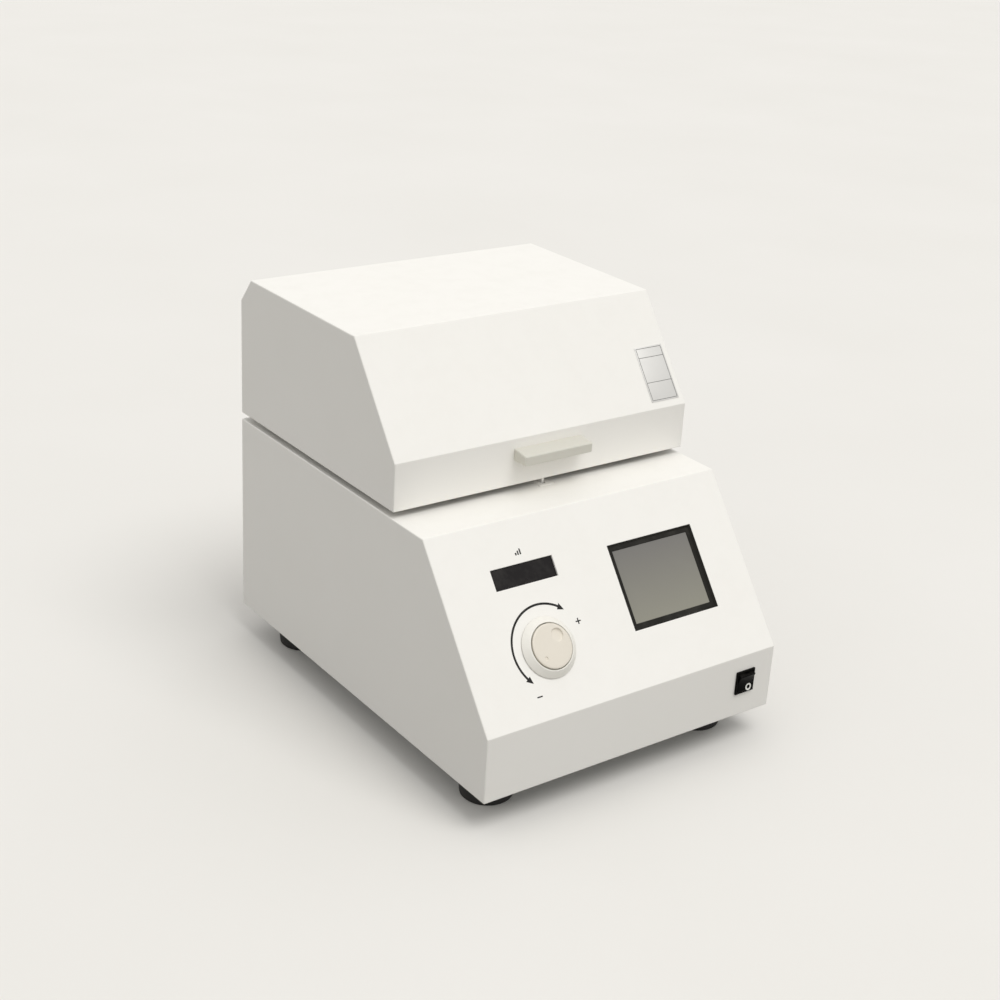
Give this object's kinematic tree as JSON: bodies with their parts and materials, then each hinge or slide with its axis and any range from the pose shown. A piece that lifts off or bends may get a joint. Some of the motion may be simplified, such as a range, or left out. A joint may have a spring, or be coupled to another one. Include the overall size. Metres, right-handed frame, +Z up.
{
  "type": "cryogenic mill",
  "caption": "Bench-top cryogenic mill: white sheet-steel base with a sloping control panel, and a hinged lid over a chamber where a rack of milling containers nods.",
  "frame": {"origin": "on the bench, under the middle of the whole instrument with its hinges and switch", "axes": "+X across the front to the right as seen from the front, +Y from the front to the back, +Z up"},
  "size_m": [0.26, 0.3534, 0.2985],
  "materials": {
    "white_paint": "satin",
    "steel_sheet": "satin",
    "zinc_plate": "satin",
    "machined_steel": "satin",
    "bearing_steel": "polished",
    "container_steel": "satin",
    "screw_steel": "satin",
    "ball_steel": "polished",
    "magnet_nickel": "polished",
    "rack_aluminium": "satin",
    "handle_aluminium": "satin",
    "motor_casting": "matte",
    "housing_aluminium": "satin",
    "brass_weight": "satin",
    "foot_rubber": "matte",
    "seal_rubber": "matte",
    "damper_rubber": "matte",
    "foam": "matte",
    "knob_plastic": "satin",
    "cap_plastic": "satin",
    "black_plastic": "satin",
    "rocker_plastic": "gloss",
    "clamp_plastic": "satin",
    "frame_plastic": "satin",
    "screen_glass": "satin",
    "window_plastic": "gloss",
    "circuit_board": "satin",
    "supply_case": "satin",
    "coil_steel": "satin",
    "shaft_steel": "satin"
  },
  "bodies": {
    "base": {"base_shell": "white_paint", "back_panel": "white_paint", "bottom_plate": "zinc_plate", "motor_mount_plate": "zinc_plate", "deck_plate": "steel_sheet", "chamber_bowl": "steel_sheet", "foot_pads": "foot_rubber", "foot_screws": "screw_steel", "bottom_screws": "screw_steel", "back_screws": "screw_steel", "deck_screws": "screw_steel", "deck_gasket": "seal_rubber", "floor_seal": "seal_rubber", "vibration_dampers": "damper_rubber", "bowl_insulation": "foam", "motor_housing": "motor_casting", "bearing_housing": "housing_aluminium", "spindle_bearings": "bearing_steel", "chamber_magnets": "magnet_nickel", "base_hinge_leaves": "machined_steel", "hinge_pins": "shaft_steel", "lock_solenoid": "coil_steel", "touch_frame": "frame_plastic", "touch_glass": "screen_glass", "touch_board": "circuit_board", "display_window": "window_plastic", "display_board": "circuit_board", "speed_encoder": "black_plastic", "encoder_nut": "screw_steel", "switch_housing": "black_plastic", "power_supply": "supply_case", "control_board": "circuit_board", "fan_frame": "black_plastic", "fan_guard": "machined_steel", "mains_inlet": "black_plastic"},
    "lid": {"lid_shell": "white_paint", "lid_liner": "steel_sheet", "lid_insulation": "foam", "lid_handle": "handle_aluminium", "lid_screws": "screw_steel", "lid_hinge_leaves": "machined_steel", "lid_striker": "machined_steel"},
    "speed_knob": {"encoder_shaft": "shaft_steel", "knob_skirt": "knob_plastic", "knob_cap": "cap_plastic"},
    "rocker": {"power_rocker": "rocker_plastic"},
    "spindle": {"drive_spindle": "shaft_steel", "motor_rotor": "coil_steel", "counterweight": "brass_weight"},
    "rack": {"sample_rack": "rack_aluminium", "rack_bearings": "bearing_steel", "rack_magnets": "magnet_nickel", "sample_containers": "container_steel", "container_caps": "container_steel", "grinding_balls": "ball_steel"},
    "clamp": {"clamp_arms": "rack_aluminium"},
    "clamp_handwheel": {"clamp_knob": "clamp_plastic"},
    "fan": {"fan_rotor": "black_plastic"},
    "lock_bolt": {"lock_plunger": "shaft_steel"},
    "fuse_holder": {"fuse_drawer": "black_plastic"}
  },
  "joints": [
    {"name": "lid_hinge", "type": "hinge", "parent": "base", "child": "lid", "pos_m": [0, 0.17224, 0.1865], "axis": [-1, 0, 0], "range_deg": [0, 80]},
    {"name": "speed_knob_turn", "type": "hinge", "parent": "base", "child": "speed_knob", "pos_m": [-0.0614, -0.14423, 0.1107], "axis": [0, -0.7927, 0.6096], "range_deg": [-135, 135]},
    {"name": "rocker_tilt", "type": "hinge", "parent": "base", "child": "rocker", "pos_m": [0.1025, -0.17126, 0.052], "axis": [-1, 0, 0], "range_deg": [0, 18]},
    {"name": "spindle_turn", "type": "hinge", "parent": "base", "child": "spindle", "pos_m": [0, 0.06024, 0.086], "axis": [0, 0, 1], "continuous": true},
    {"name": "rack_nod", "type": "hinge", "parent": "spindle", "child": "rack", "pos_m": [0, 0.06024, 0.143], "axis": [0.1045, 0, 0.9945], "continuous": true},
    {"name": "clamp_travel", "type": "slide", "parent": "rack", "child": "clamp", "axis": [0.1045, 0, 0.9945], "range_m": [0, 0.0045]},
    {"name": "clamp_knob_turn", "type": "hinge", "parent": "clamp", "child": "clamp_handwheel", "pos_m": [0, 0.06024, 0.143], "axis": [0.1045, 0, 0.9945], "range_deg": [0, 1080.5]},
    {"name": "fan_turn", "type": "hinge", "parent": "base", "child": "fan", "pos_m": [-0.085, 0.14574, 0.074], "axis": [0, 1, 0], "continuous": true},
    {"name": "lock_bolt_slide", "type": "slide", "parent": "base", "child": "lock_bolt", "axis": [1, 0, 0], "range_m": [0, 0.008], "stiffness_N_per_m": 120},
    {"name": "fuse_drawer_slide", "type": "slide", "parent": "base", "child": "fuse_holder", "axis": [0, 1, 0], "range_m": [0, 0.014]}
  ],
  "couplings": [
    {"joint": "rack_nod", "follows": "spindle_turn", "ratio": -1},
    {"joint": "clamp_knob_turn", "follows": "clamp_travel", "rad_per_m": 4188.8}
  ]
}
